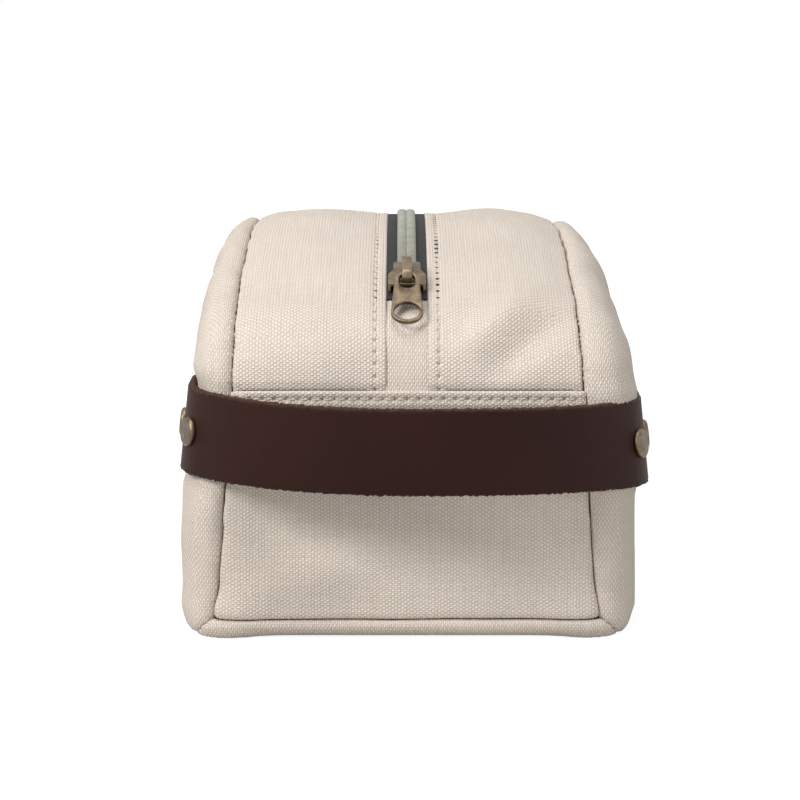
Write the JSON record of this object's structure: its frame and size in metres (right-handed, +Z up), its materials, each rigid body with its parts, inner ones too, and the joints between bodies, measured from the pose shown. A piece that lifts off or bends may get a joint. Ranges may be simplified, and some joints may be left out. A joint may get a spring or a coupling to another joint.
{
  "type": "toiletry bag",
  "caption": "Boxy canvas toiletry bag with a zip over its curved top and a leather carry strap riveted to its sides round the front end.",
  "frame": {"origin": "centre of the flat base's underside", "axes": "+Z up, -Y towards the front end with the strap, +X to the right when looking along +Y"},
  "size_m": [0.149, 0.2529, 0.1175],
  "materials": {
    "canvas": "undyed heavy plain-weave cotton canvas, folded and topstitched",
    "lining": "thin woven nylon lining",
    "zip_tape": "dark grey woven polyester zip tape",
    "zip_coil": "grey-green nylon coil",
    "zip_stop": "moulded stops on the zip",
    "aged_brass": "antiqued brass plating, darker in its recesses and rubbed bright on its edges",
    "spring_steel": "bright spring strip",
    "leather": "dark brown full-grain leather with raw cut edges"
  },
  "bodies": {
    "bag": {"bottom_panel": "canvas", "left_side_panel": "canvas", "right_side_panel": "canvas", "front_end_panel": "canvas", "rear_end_panel": "canvas", "top_panel_left": "canvas", "top_panel_right": "canvas", "front_zip_tab": "canvas", "rear_zip_tab": "canvas", "lining": "lining", "zip_tape_left": "zip_tape", "zip_tape_right": "zip_tape", "zip_coil_left": "zip_coil", "zip_coil_right": "zip_coil", "zip_front_stops": "zip_stop", "zip_rear_stop": "zip_stop", "leather_strap": "leather", "rivet_caps_left": "aged_brass", "rivet_caps_right": "aged_brass", "rivet_studs_left": "aged_brass", "rivet_studs_right": "aged_brass"},
    "slider": {"slider_body": "aged_brass", "slider_crown": "aged_brass", "lock_spring": "spring_steel"},
    "pull": {"pull_tab": "aged_brass"}
  },
  "joints": [
    {"name": "zip_travel", "type": "hinge", "parent": "bag", "child": "slider", "pos_m": [0, 0, -0.1243], "axis": [-1, 0, 0], "range_deg": [0, 34.4], "deforming": ["zip_coil_left", "zip_coil_right"]},
    {"name": "pull_flip", "type": "hinge", "parent": "slider", "child": "pull", "pos_m": [0, -0.07641, 0.10821], "axis": [-1, 0, 0], "range_deg": [0, 150]}
  ]
}
